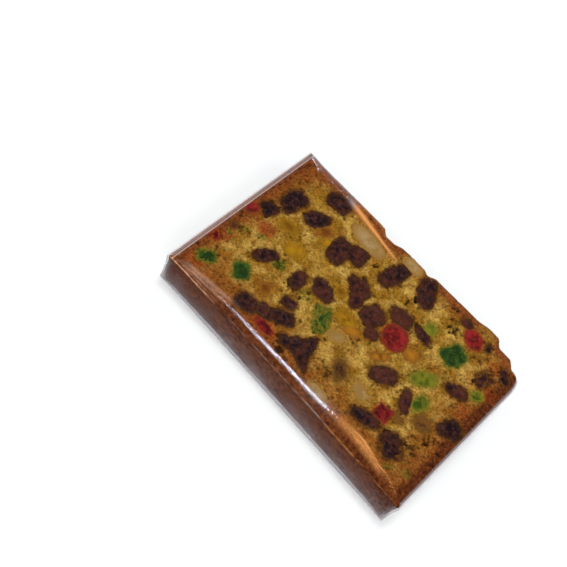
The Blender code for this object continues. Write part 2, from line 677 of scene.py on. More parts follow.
@dataclass(frozen=True)
class ClearFilm:
    """Oriented polypropylene film, cast, stretched and heat-sealed.

    The eye sees through it where it clings to the cut faces. Where it stands free its slopes mirror the
    lamps, broken up by fine crinkles. Its creases, folds and slopes carry painted highlights, pale diffuse
    lines and bands, and its sides turn milky towards the gathered foot, partly as a painted reflection of
    the floor.
    """

    straight_on: float = 0.06  # what both faces together mirror of light that meets them squarely
    grazing: float = 0.35  # how much more they mirror edge on
    cling: float = 0.94  # how much of that is lost where the film lies on moist cake
    roughness: float = 0.075
    tint: str = "f9f9fb"
    mirror: str = "e2eaff"
    fringe: str = "ffb060"
    # diffuse colour of the milky gathers and of the painted highlights
    milk_and_highlight: str = "d6ced2"
    # and its warm tint, mostly for the painted highlights
    warm_milk_and_highlight: str = "f2a660"
    crinkle_mm: float = 0.5
    crinkle_depth_mm: float = 0.024

    def build(self) -> bpy.types.Material:
        """Makes the material, which reads the attribute gather.

        That says how milky the film is, which also paints highlights on it, how it clings, and how far
        its stretch colours what it mirrors, as a thin film's fringes do, and its painted highlights warm.

        Returns:
            The material, for the film.
        """
        material, node, place = empty_material("polypropylene_film")
        gather = node("ShaderNodeAttribute", attribute_name="gather")
        parts = node("ShaderNodeSeparateColor", {"Color": gather})
        facing_away = node("ShaderNodeLayerWeight", {"Blend": 0.5}).outputs["Facing"]
        edge_on = node("ShaderNodeMath", {0: facing_away, 1: 5.0}, operation="POWER")
        share = node(
            "ShaderNodeMath", {0: edge_on, 1: self.grazing, 2: self.straight_on}, operation="MULTIPLY_ADD"
        )
        crinkles = node("ShaderNodeTexNoise", {"Vector": place, "Scale": per_metre(self.crinkle_mm)})
        loose = {"Value": parts.outputs["Green"], "To Min": 1.0, "To Max": 1.0 - self.cling}
        glint = {"Value": crinkles, "From Min": 0.40, "From Max": 0.60, "To Min": 0.1}
        for part in (loose, glint):
            lost = node("ShaderNodeMapRange", part)
            share = node("ShaderNodeMath", {0: share, 1: lost}, operation="MULTIPLY")
        depth = self.crinkle_depth_mm * MM
        bump = node("ShaderNodeBump", {"Height": crinkles, "Strength": 1.0, "Distance": depth})
        mirror, milk_and_highlight = (
            node(
                "ShaderNodeMix",
                {"Factor": parts.outputs["Blue"], "A": linear(plain), "B": linear(fringed)},
                data_type="RGBA",
            )
            for plain, fringed in ((self.mirror, self.fringe), (self.milk_and_highlight, self.warm_milk_and_highlight))
        )
        clear = node("ShaderNodeBsdfTransparent", {"Color": linear(self.tint)})
        gloss = node(
            "ShaderNodeBsdfAnisotropic", {"Color": mirror, "Roughness": self.roughness, "Normal": bump}
        )
        film = node("ShaderNodeMixShader", {0: share, 1: clear, 2: gloss})
        # Diffuse milk: the film's milky gathers, and the painted highlights on its creases, folds and slopes
        highlight_haze = node("ShaderNodeBsdfDiffuse", {"Color": milk_and_highlight})
        surface = node("ShaderNodeMixShader", {0: parts.outputs["Red"], 1: film, 2: highlight_haze})
        node("ShaderNodeOutputMaterial", {"Surface": surface})
        return material


@dataclass(frozen=True)
class LitAcrylic:
    """Opal acrylic sheet, cast and lit faintly from below, for the table. The eye reads plain white."""

    colour: str = "eef2f4"
    glow: float = 0.10
    ripple_mm: float = 3.0
    ripple_depth_mm: float = 0.1

    def build(self) -> bpy.types.Material:
        """Makes the material, with a faint ripple.

        Returns:
            The material, for the floor.
        """
        material, node, place = empty_material("opal_acrylic")
        ripple = node("ShaderNodeTexNoise", {"Vector": place, "Scale": per_metre(self.ripple_mm)})
        depth = self.ripple_depth_mm * MM
        shader = node(
            "ShaderNodeBsdfPrincipled",
            {
                "Base Color": linear(self.colour),
                "Roughness": 0.9,
                "Normal": node("ShaderNodeBump", {"Height": ripple, "Strength": 0.05, "Distance": depth}),
                "Specular IOR Level": 0.1,
                "Emission Color": (1.0, 1.0, 1.0, 1.0),
                "Emission Strength": self.glow,
            },
        )
        node("ShaderNodeOutputMaterial", {"Surface": shader})
        return material


# ------------------------------------------------------------------------------------------------- fruit


class Kind(Enum):
    """Kinds of fruit, each of which becomes one piece of this name."""

    RAISIN = "raisins"
    CHERRY = "glace_cherries"
    DARK_GREEN = "green_candied_papaya"
    LIGHT_GREEN = "lime_candied_peel"
    NUT = "almonds_and_melon"
    YELLOW = "yellow_candied_peel"
    ORANGE = "orange_candied_peel"
    BROWN = "brown_sultanas"


@dataclass(frozen=True)
class FruitStyle:
    """How one kind of fruit is shaped and finished."""

    slot: str
    finish: CandiedFruit
    squareness: float  # 2 is an ellipse, and more is squarer
    ragged: float  # how far the outline strays, as a share of its radius
    nibble: float  # how far crumb creeps over the edge, in mm
    sink: float  # how far its cut face lies below the knife's cut
    halo: str  # colour that it lends to the crumb round it
    halo_share: float
    halo_reach: float


STYLES: dict[Kind, FruitStyle] = {
    Kind.RAISIN: FruitStyle(
        "raisin",
        # The raisins' lilac flecks are partly painted glints
        CandiedFruit("cut_raisin_flesh", "1a0c0f", "50281c", "40240f", "5c4846", 0.3, 0.6, 0.0, 1.8, 1.0),
        2.7, 0.15, 0.6, 0.17, "5a3614", 0.95, 1.6,
    ),
    Kind.CHERRY: FruitStyle(
        "cherry",
        CandiedFruit("glace_cherry_flesh", "4c0c0e", "922222", "74301a", "964a30", 0.3, 0.72, 0.2),
        2.1, 0.07, 0.35, 0.16, "8a3a16", 0.9, 1.6,
    ),
    Kind.DARK_GREEN: FruitStyle(
        "green_peel",
        CandiedFruit("green_candied_papaya", "1c340f", "40601e", "44521a", "66702c", 0.3, 0.8, 0.15),
        5.0, 0.06, 0.3, 0.16, "5e5e1a", 0.9, 1.6,
    ),
    Kind.LIGHT_GREEN: FruitStyle(
        "green_peel",
        CandiedFruit("lime_candied_peel", "34480a", "78761c", "746e1e", "887630", 0.3, 0.65, 0.2),
        2.8, 0.11, 0.45, 0.17, "7e7022", 0.9, 2.0,
    ),
    Kind.NUT: FruitStyle(
        "nut",
        CandiedFruit("blanched_almond", "92703a", "ac9060", "986f30", "8a6832", 0.5, 0.3, 0.2, 3.0),
        2.4, 0.11, 0.7, 0.17, "98702a", 0.85, 2.0,
    ),
    Kind.YELLOW: FruitStyle(
        "yellow_peel",
        CandiedFruit("yellow_candied_peel", "744b06", "ac7c0c", "90680f", "94702c", 0.3, 0.35, 0.3),
        3.0, 0.14, 0.6, 0.20, "92691a", 0.95, 2.8,
    ),
    Kind.ORANGE: FruitStyle(
        "yellow_peel",
        CandiedFruit("orange_candied_peel", "6a380a", "aa7018", "885818", "8c6026", 0.4, 0.35, 0.3),
        2.8, 0.14, 0.6, 0.20, "885a1a", 0.95, 2.6,
    ),
    Kind.BROWN: FruitStyle(
        "yellow_peel",
        CandiedFruit("golden_sultana_flesh", "3c220e", "70461a", "6c4a1a", "7c582c", 0.4, 0.4, 0.2),
        2.5, 0.13, 0.5, 0.18, "704c1a", 0.95, 2.4,
    ),
}


@dataclass(frozen=True)
class Spot:
    """One piece of fruit in a cut face: where its middle is, its size and its turn in degrees."""

    x: float
    y: float
    long: float
    wide: float
    turn: float = 0.0
    tone: float = 0.4  # from the kind's deep colour, 0, to its light one, 1
    broken: float = 0.0  # how far crumb runs over it, in mm more than is usual for its kind
    sides: int = 0  # of a piece cut with corners


def spots_at(*rows: tuple[float, ...]) -> tuple[Spot, ...]:
    """Spots from rows of numbers, in the order of Spot's fields."""
    return tuple(Spot(*row) for row in rows)


# What the upper cut face shows
UPPER_FACE: dict[Kind, tuple[Spot, ...]] = {
    Kind.RAISIN: spots_at(
        (20.7, 60.8, 9.5, 6.4, 0, 0.3), (10.6, 48.0, 10.8, 7.4, 80, 0.1, 1.0),
        (7.6, 39.0, 6.0, 5.4, 60, 0.0), (20.4, 49.6, 9.6, 5.4, 48, 0.1), (33.4, 47.4, 10.0, 7.2, 100, 0.4),
        (38.6, 51.4, 7.4, 6.8, 20, 0.6), (51.8, 56.6, 12.0, 6.2, 78, 0.4, 0.2),
        (63.4, 61.2, 12.0, 6.6, -62, 0.3), (47.2, 43.6, 8.4, 6.2, -48, 0.6),
        (49.6, 39.6, 6.4, 5.0, -60, 0.6), (57.2, 39.6, 8.6, 7.4, 60, 0.7),
        (61.2, 34.8, 5.0, 4.0, 10, 1.0, 0.3), (40.2, 32.6, 7.8, 6.2, 10, 0.5),
        (32.4, 28.6, 7.0, 4.6, 85, 0.5, 0.2), (19.4, 25.9, 9.2, 4.2, 48, 0.3),
        (36.6, 20.4, 5.4, 3.6, 10, 0.5, 0.2), (38.8, 15.0, 8.0, 5.2, 25, 0.2),
        (33.8, 12.0, 7.0, 4.2, 5, 0.5, 0.3), (27.8, 9.4, 8.2, 5.6, 15, 0.3),
        (50.3, 12.3, 15.6, 14.8, 82, 0.3, 0.1, 3), (45.0, 10.2, 5.0, 3.6, 10, 0.2),
        (73.6, 27.6, 9.4, 5.8, 35, 0.7, 0.1), (84.5, 26.8, 9.2, 3.6, -60, 0.6, 0.2),
        (79.3, 12.6, 11.4, 4.6, 20, 0.2, 0.7), (91.0, 12.6, 9.0, 7.4, -35, 0.2, 1.6),
        (100.6, 31.8, 8.8, 6.2, 0, 0.0), (93.2, 43.2, 8.0, 4.4, 22, 0.6),
        (73.0, 48.4, 7.4, 3.6, -12, 0.5, 1.0), (96.6, 53.6, 6.0, 4.6, 80, 0.5, 1.6),
        (101.0, 60.2, 6.0, 3.0, -45, 0.1, 0.6), (80.0, 64.6, 4.2, 3.0, 0, 1.0),
        (5.2, 25.0, 2.6, 1.8, 30, 0.9, 1.2), (90.6, 63.6, 2.6, 3.4, 0, 0.3, 1.0),
        (63.8, 47.2, 7.6, 6.4, 20, 1.1, 0.5),
    ),
    Kind.CHERRY: spots_at(
        (67.3, 40.2, 9.6, 9.2, 0, 0.5), (85.3, 61.8, 7.8, 6.0, -20, 0.6, 0.1),
        (82.1, 18.3, 7.6, 7.0, 52, 0.2, 0.0, 4), (3.9, 34.6, 4.4, 3.6, 60, 0.4),
        (37.2, 8.2, 8.0, 3.2, 0, 0.2, 0.3), (4.0, 17.6, 3.4, 3.0, 0, 0.1, 1.6),
    ),
    Kind.DARK_GREEN: spots_at(
        (18.6, 15.6, 6.0, 4.8, -45, 0.1), (84.6, 51.8, 8.4, 6.8, 72, 0.05, 0.2),
        (47.2, 24.9, 9.0, 5.6, -55, 0.2, 5.5), (7.8, 10.0, 5.8, 3.8, 38, -0.1, 1.6),
    ),
    Kind.LIGHT_GREEN: spots_at(
        (83.4, 37.4, 8.8, 4.8, 45, 0.6), (88.0, 30.2, 6.6, 4.2, 88, 0.1), (73.2, 52.4, 4.2, 3.8, 0, 1.0),
        (99.0, 47.6, 4.4, 2.8, 40, 0.5),
    ),
    Kind.NUT: spots_at(
        (37.4, 58.7, 15.2, 5.9, -4, 0.7), (53.6, 64.6, 8.6, 4.0, 0, 0.6),
        (72.6, 17.4, 7.6, 5.6, -8, 0.2, 1.2), (63.8, 6.6, 6.4, 3.2, 0, 0.4),
        (54.6, 24.8, 7.6, 4.6, 32, 0.0, 1.6),
    ),
    Kind.YELLOW: spots_at(
        (24.2, 35.4, 6.2, 6.0, 20, 0.8), (52.4, 31.8, 8.0, 4.8, 5, 0.4), (16.4, 39.9, 7.0, 3.2, 8, -0.3),
        (44.4, 37.2, 4.0, 3.0, 0, -0.3), (28.6, 46.4, 3.4, 3.0, 0, 0.8),
    ),
    Kind.ORANGE: spots_at(
        (56.6, 30.2, 5.0, 3.6, 10, 1.1), (68.4, 31.2, 6.2, 2.6, 42, 0.6), (25.6, 48.6, 5.6, 4.6, 30, 0.2),
        (27.8, 17.8, 4.4, 3.8, 60, -0.1), (75.0, 40.4, 5.2, 4.0, 10, 1.0),
    ),
    Kind.BROWN: spots_at(
        (93.0, 26.0, 5.6, 4.6, 10, 0.7), (63.3, 17.3, 6.4, 5.0, 137, -0.1, 0.4),
        (86.6, 21.0, 3.0, 2.4, 0, 1.2),
    ),
}

# Fruit under a skin of crumb on the upper face, which only tints it
VEILED: dict[Kind, tuple[Spot, ...]] = {
    Kind.DARK_GREEN: spots_at(
        (94.6, 7.2, 3.4, 2.8), (100.4, 10.0, 3.0, 2.6), (5.8, 22.0, 3.0, 2.6), (14.0, 29.5, 4.0, 2.4, 20),
        (24.4, 27.4, 5.2, 4.4, 0, 1.4),
    ),
    Kind.LIGHT_GREEN: spots_at(
        (37.6, 26.4, 7.4, 6.0), (8.4, 27.6, 5.0, 3.0, 40), (88.0, 15.6, 3.4, 2.6),
    ),
    Kind.CHERRY: spots_at(
        (12.2, 32.8, 8.2, 5.0, 20, 0.8), (5.4, 19.6, 6.0, 4.0, 40), (6.6, 6.4, 7.0, 3.6, 20),
        (33.0, 64.4, 9.0, 2.2, 175), (97.0, 60.4, 7.0, 5.0, -30), (101.4, 51.0, 4.0, 9.0),
        (37.0, 6.8, 12.0, 3.0), (99.0, 39.0, 4.0, 7.0, 20),
    ),
    Kind.ORANGE: spots_at(
        (80.6, 43.0, 9.0, 5.0), (92.0, 36.0, 5.0, 4.0), (97.0, 20.0, 5.0, 4.0), (6.6, 54.0, 4.0, 6.0),
        (28.6, 53.2, 5.0, 3.6),
    ),
    Kind.YELLOW: spots_at(
        (36.0, 38.0, 14.0, 7.0), (16.0, 55.0, 9.0, 4.0), (72.0, 36.0, 8.0, 4.0),
    ),
    Kind.BROWN: spots_at(
        (44.0, 17.0, 4.0, 3.0), (91.4, 58.6, 3.0, 2.4), (96.0, 15.0, 6.0, 4.0, 60),
        (58.2, 22.0, 6.0, 3.4, -10),
    ),
    Kind.RAISIN: spots_at(
        (61.6, 13.6, 6.4, 3.2, -35), (70.0, 47.6, 5.0, 2.4, -60), (36.4, 24.4, 4.0, 2.4, 60),
        (101.6, 62.0, 5.0, 3.0, -50),
    ),
    Kind.NUT: spots_at(
        (87.2, 67.0, 8.0, 4.4, 0, 0.8), (94.6, 62.6, 4.0, 4.0), (68.0, 63.4, 6.0, 3.0),
    ),
}

# Where the upper face is full of small pores
OPEN_CRUMB: tuple[Spot, ...] = spots_at(
    (61.4, 14.0, 5.6, 4.4, 137), (94.4, 17.6, 9.0, 5.0, 60), (70.4, 49.4, 5.0, 3.4, -60),
    (34.6, 25.0, 6.0, 4.0, 30), (24.4, 27.2, 4.0, 3.2), (8.6, 26.8, 5.0, 4.0, 40),
    (99.4, 24.0, 7.0, 4.0, 60), (98.0, 57.6, 7.0, 5.0, -45),
)

# Torn holes in the upper face, where the knife pulled crumb out
TEARS: tuple[Spot, ...] = spots_at(
    (62.6, 56.4, 2.8, 2.0, 40), (61.4, 53.2, 1.6, 2.2), (78.4, 59.0, 3.0, 2.6, 20),
    (76.2, 61.8, 2.2, 1.2, 30), (73.6, 65.0, 3.2, 1.4, 30), (45.0, 54.0, 2.0, 1.6),
    (93.6, 16.4, 2.6, 1.6, 60), (86.4, 14.6, 2.6, 2.0, 20), (37.2, 24.6, 2.2, 1.4, 60),
    (69.0, 49.4, 2.0, 2.6, 10), (95.0, 51.2, 2.2, 1.6, 80), (31.0, 24.8, 2.4, 1.2, 50),
    (98.6, 22.0, 2.4, 1.6, 60), (46.0, 6.6, 3.0, 1.8),
)

GOLDEN_ANGLE = 2.399  # radians, so that the pieces lean every way


@dataclass
class Morsel:
    """One piece of fruit, cut or baked flush with a surface of the cake."""

    kind: Kind
    spot: Spot
    place: Matrix  # from the fruit's own frame, +Z out of the cake, to the slice's frame
    seed: int
    crown: float = 0.02
    deep: float = 2.0
    rings: int = 8
    around: int = 44
    hidden_edge: float = 0.5  # how far the fruit runs on under the crumb
    # The rings underneath: share of the way out to the hidden edge, and of the depth
    hidden_rings: tuple[tuple[float, float], ...] = ((0.99, 0.35), (0.93, 0.7), (0.8, 0.88), (0.5, 1.0))
    relief: float = 0.03
    wave_count: int = 9
    wave_height: float = 0.55
    shading: float = 0.6  # how far the tone changes from the dark side to the light one

    def __post_init__(self) -> None:
        """Draws the outline's waves."""
        draw = np.random.default_rng(self.seed)
        self.waves = np.arange(2, 2 + self.wave_count)
        fade = 1.0 / (self.waves - 1.0) ** 0.9
        slender = min(1.0, 1.3 * self.spot.wide / self.spot.long)  # long pieces have smoother outlines
        self.heights = draw.normal(0.0, self.wave_height, self.wave_count) * fade
        self.heights *= STYLES[self.kind].ragged * slender
        self.starts = draw.uniform(0.0, 2.0 * math.pi, self.wave_count)
        matrix = np.array(self.place)
        self.turned, self.moved = matrix[:3, :3].T, matrix[:3, 3]

    def radius(self, angle: np.ndarray) -> np.ndarray:
        """The outline's radius: a squared ellipse, or one with corners, with waves.

        Args:
            angle: Directions from its middle, in radians.

        Returns:
            The radius in each direction.
        """
        power = STYLES[self.kind].squareness
        long, wide = self.spot.long / 2, self.spot.wide / 2
        if self.spot.sides:
            share = math.pi / self.spot.sides
            turned = np.mod(angle, 2 * share) - share
            plain = math.cos(share) / np.cos(turned)
            plain *= np.hypot(long * np.cos(angle), wide * np.sin(angle))
        else:
            reach = np.abs(np.cos(angle) / long) ** power + np.abs(np.sin(angle) / wide) ** power
            plain = reach ** (-1.0 / power)
        waves = np.cos(angle[:, None] * self.waves + self.starts) @ self.heights
        return plain * (1.0 + waves)

    def beyond(self, points: np.ndarray) -> tuple[np.ndarray, np.ndarray]:
        """How far points lie beyond the outline.

        Args:
            points: Positions in the slice's frame, one row each.

        Returns:
            Their distances beyond the outline, negative inside it, and how far off the cut face they lie.
        """
        inverse = np.array(self.place.inverted())
        x, y, z = (points @ inverse[:3, :3].T + inverse[:3, 3]).T
        return np.hypot(x, y) - self.radius(np.arctan2(y, x)), np.abs(z)

    def build(self) -> tuple[np.ndarray, np.ndarray]:
        """Makes the closed mesh.

        Returns:
            Its points in the slice's frame, and its quads and triangles as rows of four indices, where a
            triangle repeats its last.
        """
        angle = np.linspace(0.0, 2.0 * math.pi, self.around, endpoint=False)
        outline = self.radius(angle)
        edge = outline + self.hidden_edge
        rings = [
            (outline * share, self.crown * (1.0 - share**2))
            for share in np.linspace(1.0 / self.rings, 1.0, self.rings)
        ]
        rings.append((edge, -0.3 * self.hidden_edge))
        rings += [(edge * share, -self.deep * drop) for share, drop in self.hidden_rings]
        round_it = [columns(np.cos(angle) * reach, np.sin(angle) * reach, height) for reach, height in rings]
        points = np.concatenate([[[0.0, 0.0, self.crown]], *round_it, [[0.0, 0.0, -self.deep]]])
        x, y, _ = points.T
        skin = np.hypot(x, y) / np.maximum(self.radius(np.arctan2(y, x)), 1e-6)
        placed = points @ self.turned + self.moved
        points[:, 2] += self.relief * (swell(placed, 1.2, 91) + 0.5 * swell(placed, 2.9, 92))
        lean = GOLDEN_ANGLE * self.seed  # each piece has its own dark and light side
        tone = self.spot.tone + self.shading * (x * math.cos(lean) + y * math.sin(lean)) / self.spot.long
        self.cut = columns(np.clip(skin, 0.0, 1.0), tone, 0.0, 1.0)
        return points @ self.turned + self.moved, self._faces(len(rings))

    def _faces(self, rings: int) -> np.ndarray:
        """Joins the middle, the rings and the lowest point.

        Args:
            rings: How many rings there are.

        Returns:
            Rows of four indices, where a triangle repeats its last.
        """
        n = self.around
        here = np.arange(n)
        after = (here + 1) % n
        rows = [columns(0, 1 + here, 1 + after, 1 + after)]
        for a in range(1, 1 + (rings - 1) * n, n):
            b = a + n
            rows.append(columns(a + here, b + here, b + after, a + after))
        last = 1 + (rings - 1) * n
        rows.append(columns(last + here, last + n, last + after, last + after))
        return np.concatenate(rows)


def facing(point: Sequence[float], outward: Sequence[float], turn: float) -> Matrix:
    """Makes a frame at a point, with +Z outward.

    Args:
        point: Where its origin is.
        outward: Which way +Z points.
        turn: Degrees that +X is turned from the slice's x axis, or from y where +Z lies along x.

    Returns:
        The matrix from that frame to the slice's frame.
    """
    up = Vector(outward).normalized()
    side = Vector((1.0, 0.0, 0.0)) if abs(up.x) < 0.9 else Vector((0.0, 1.0, 0.0))
    x_axis = (side - up * side.dot(up)).normalized()
    y_axis = up.cross(x_axis)
    turned = Matrix((x_axis, y_axis, up)).transposed().to_4x4()
    return Matrix.Translation(Vector(point)) @ turned @ Matrix.Rotation(math.radians(turn), 4, "Z")


# -------------------------------------------------------------------------------------------------- cake


class Crust(Enum):
    """The crusts that show fruit: how many pieces, where in CRUST_FRUIT they start, and which way is out."""

    CREST = (7, 5, (0, 1, 0))
    START = (4, 5, (-1, 0, 0))
    END = (3, 3, (1, 0, 0))


CRUST_FRUIT = (Kind.RAISIN, Kind.ORANGE, Kind.RAISIN, Kind.BROWN, Kind.NUT, Kind.DARK_GREEN, Kind.CHERRY)


@dataclass
class Cake:
    """The cake: two cut faces of open crumb between browned crusts, with its fruit."""

    shape: WrapShape
    cells_long: int = 312
    cells_short: int = 188
    side_rings: int = 28
    inset: Inset = Inset(start=0.45, end=0.5, base=0.35, crest=0.12, bridge=0.1)
    clearance: float = 0.16  # between its cut faces and the film
    foot_round: float = 1.8  # how high up its foot is rounded
    foot_pull: float = 1.1  # and how far that draws it in
    slack: float = 0.2  # room for the film's tension folds, half way down the sides
    bubble_seed: int = 5
    scatter_seed: int = 41
    crust_seed: int = 77
    # The first seed of the fruit in the upper face, in the lower face and in the crusts
    fruit_seeds: tuple[int, int, int] = (100, 300, 500)
    lower_spacing: float = 0.42  # between two fruits there, as a share of their lengths together
    crust_fruit_long: tuple[float, float] = (4.5, 8.5)
    crust_fruit_wide: tuple[float, float] = (3.0, 5.0)
    bubbles: int = 1100
    bubble_radii: tuple[float, float] = (0.30, 0.75)
    bubble_reach: float = 1.3  # how far its hollow reaches, as a share of its radius
    bubble_deep: float = 0.7  # and how deep it is
    bubble_loss: float = 0.6  # share of the bubbles that the crusts do without
    # How uneven its cut faces are, its crusts, and both: depth, length and number of each noise
    face_waves: tuple[tuple[float, float, int], ...] = ((0.05, 7.0, 3),)
    crust_waves: tuple[tuple[float, float, int], ...] = ((0.08, 4.0, 8),)
    crumb_waves: tuple[tuple[float, float, int], ...] = ((0.05, 1.7, 4), (0.04, 0.8, 6))
    pore_deep: float = 0.4
    tear_deep: float = 1.1
    bed_deep: float = 0.6
    fruit_reach: float = 2.2  # how far from its cut face a fruit still marks the crumb
    # How wide the crusts are, how far in the crumb is toasted, and how darkly the crusts are baked, at the
    # start, the end, the base and the top
    crust_widths: tuple[float, ...] = (3.8, 4.4, 3.0, 3.2)
    toast_reaches: tuple[float, ...] = (10.0, 18.0, 18.0, 8.0)
    bakes: tuple[float, ...] = (0.45, 0.85, 0.7, 0.2)

    def __post_init__(self) -> None:
        """Prepares the fruit that all the other steps read."""
        self.morsels = self._upper_morsels() + self._lower_morsels() + self._side_morsels()

    # --- fruit

    def _upper_morsels(self) -> list[Morsel]:
        """The fruit that the upper cut face shows.

        Returns:
            One morsel for each spot of UPPER_FACE.
        """
        morsels = []
        for kind, spots in UPPER_FACE.items():
            for spot in spots:
                height = float(self._face_height(np.array([[spot.x, spot.y]]))[0])
                sink = STYLES[kind].sink + 0.03 * spot.broken
                place = facing((spot.x, spot.y, height - sink), (0, 0, 1), spot.turn)
                morsels.append(Morsel(kind, spot, place, self.fruit_seeds[0] + len(morsels)))
        return morsels

    def _lower_morsels(self) -> list[Morsel]:
        """As much fruit again in the lower cut face, scattered without overlap.

        Returns:
            One morsel for each spot that found a place.
        """
        draw = np.random.default_rng(self.scatter_seed)
        margin, tries, sink = 5.0, 60, 0.15
        wanted = [(kind, spot) for kind, spots in UPPER_FACE.items() for spot in spots]
        wanted.sort(key=lambda pair: -pair[1].long * pair[1].wide)
        placed: list[tuple[Kind, Spot]] = []
        for kind, spot in wanted:
            for _ in range(tries):
                x = draw.uniform(margin, self.shape.length - margin)
                y = draw.uniform(margin, self.shape.rise - margin)
                gaps = [math.hypot(x - o.x, y - o.y) / (spot.long + o.long) for _, o in placed]
                if all(gap > self.lower_spacing for gap in gaps):
                    placed.append((kind, replace(spot, x=x, y=y, turn=draw.uniform(0, 180))))
                    break
        height = self.clearance + sink
        return [
            Morsel(kind, spot, facing((spot.x, spot.y, height), (0, 0, -1), spot.turn), seed)
            for seed, (kind, spot) in enumerate(placed, self.fruit_seeds[1])
        ]

    def _side_morsels(self) -> list[Morsel]:
        """Fruit that shows in the crusts. The base crust, which lay on the tin, shows none.

        Returns:
            The morsels of each crust in turn.
        """
        draw = np.random.default_rng(self.crust_seed)
        morsels = []
        for crust in Crust:
            count, first, out = crust.value
            for k in range(count):
                kind = CRUST_FRUIT[(k * 3 + first) % len(CRUST_FRUIT)]
                long, wide = draw.uniform(*self.crust_fruit_long), draw.uniform(*self.crust_fruit_wide)
                share = (k + draw.uniform(0.2, 0.8)) / count
                z = draw.uniform(4.0, self.shape.thickness - 4.5)
                x, y = self._crust_point(out, share, z)
                spot = Spot(x, y, long, wide, draw.uniform(-40, 40), draw.uniform(0, 0.6), 0.8)
                place = facing((x, y, z), out, spot.turn)
                seed = self.fruit_seeds[2] + len(morsels)
                morsels.append(Morsel(kind, spot, place, seed, crown=0.05, deep=1.6))
        return morsels

    def _crust_point(self, out: tuple[int, int, int], share: float, z: float) -> tuple[float, float]:
        """Finds a place just inside a crust.

        Args:
            out: The direction that the crust faces.
            share: Share of the way along the crust.
            z: Height above the floor.

        Returns:
            The place's x and y.
        """
        sink = 0.25
        u, v = (share, 1.0) if out[1] else ((1.0 + out[0]) / 2, share)
        x, y = self._side_plan(np.array([u]), np.array([v]), np.array([z]))[0]
        return x - sink * out[0], y - sink * out[1]

    # --- form

    def _face_height(self, plan: np.ndarray) -> np.ndarray:
        """Height of the upper cut face before its relief."""
        return self.shape.top_height(plan[:, 0], plan[:, 1]) - self.clearance

    def _side_plan(self, u: np.ndarray, v: np.ndarray, z: np.ndarray) -> np.ndarray:
        """Plan positions of the crust at a height.

        Args:
            u: Shares of the way along the slice.
            v: Shares of the way from the base crust to the top crust.
            z: Heights above the floor.

        Returns:
            One row of x and y for each.
        """
        shape = self.shape
        depth = 1.0 - z / shape.thickness
        plan = shape.plan(u, v, depth, self.inset)
        drawn = (shape.waist + self.slack) * np.sin(np.pi * np.clip(depth, 0.0, 1.0))
        drawn += self.foot_pull * np.clip(1.0 - z / self.foot_round, 0.0, 1.0) ** 2
        return shape.drawn_in(plan, drawn)

    def slab(self) -> Slab:
        """The cake's form with plain surfaces.

        Returns:
            Its closed mesh: two cut faces and the crusts between them.
        """
        slab = Slab(np.linspace(0.0, 1.0, self.cells_long + 1), np.linspace(0.0, 1.0, self.cells_short + 1))
        top = self.shape.plan(slab.grid_u, slab.grid_v, 0.0, self.inset)
        top_height = self._face_height(top)
        slab.add_top(columns(*top.T, top_height))
        edge_height = top_height[slab.border]
        for k in range(1, self.side_rings):
            if k == self.side_rings // 2:
                slab.halve()
                edge_height = edge_height[::2]
            z = edge_height + (self.clearance - edge_height) * k / self.side_rings
            slab.add_ring(columns(*self._side_plan(slab.border_u, slab.border_v, z).T, z))
        floor = np.full_like(slab.grid_u, self.clearance)
        slab.add_bottom(columns(*self._side_plan(slab.grid_u, slab.grid_v, floor).T, floor))
        return slab

    def build(self) -> bpy.types.Object:
        """Makes the cake's mesh with its relief, colours its zones and dresses it.

        Returns:
            The piece.
        """
        points, faces = self.slab().arrays()
        outward = self._outward(points)
        on_face = np.abs(outward[:, 2])
        tree = KDTree(len(points))
        for k, point in enumerate(points):
            tree.insert(point, k)
        tree.balance()
        pore = self._pores(points, tree, on_face)
        carve, stain = self._fruit_marks(points, tree)
        lowered = pore + carve + unevenness(points, self.crumb_waves)
        lowered += mixed(unevenness(points, self.crust_waves), unevenness(points, self.face_waves), on_face)
        piece = new_piece("fruit_cake", points - outward * lowered[:, None], faces)
        add_attribute(piece, "zones", self._zones(points, on_face, pore))
        add_attribute(piece, "stain", stain)
        piece.data.materials.append(BakedCrumb().build())
        return piece

    def _outward(self, points: np.ndarray) -> np.ndarray:
        """Which way is out of the cake.

        Args:
            points: Points of its plain form.

        Returns:
            A unit direction for each.
        """
        x, y, z = points.T
        shape, reach, blend = self.shape, 0.5, 0.6
        top = self._face_height(points[:, :2])
        crest = shape.crest(x, 1.0 - z / shape.thickness)
        low, high = eased(1.0 - (z - self.clearance) / reach), eased(1.0 - (top - z) / reach)
        gaps = columns(x - self.inset.start, shape.length - self.inset.end - x, y, crest - y)
        weight = 1.0 / (np.maximum(gaps, 0.0) + blend) ** 3
        flat = (1.0 - low) * (1.0 - high)
        direction = columns(
            (weight[:, 1] - weight[:, 0]) * flat,
            (weight[:, 3] - weight[:, 2]) * flat,
            (high - low) * weight.max(axis=1),
        )
        direction[np.linalg.norm(direction, axis=1) == 0.0, 2] = 1.0
        return direction / np.linalg.norm(direction, axis=1)[:, None]

    def _edge_distance(self, points: np.ndarray) -> np.ndarray:
        """How far points lie inside the cake's four sides.

        Args:
            points: The points.

        Returns:
            A row for each: its distances from the start, the end, the base crust and the top crust.
        """
        x, y, z = points.T
        shape, inset = self.shape, self.inset
        depth = np.clip(1.0 - z / shape.thickness, 0.0, 1.0)
        far = shape.end_x(y, shape.crest(np.full_like(x, shape.length), depth))
        crest = shape.crest(x, depth) - inset.crest - inset.bridge * shape.bridge(x)
        low = shape.base(x, depth) + inset.base
        return columns(x - inset.start, far - inset.end - x, y - low, crest - y)

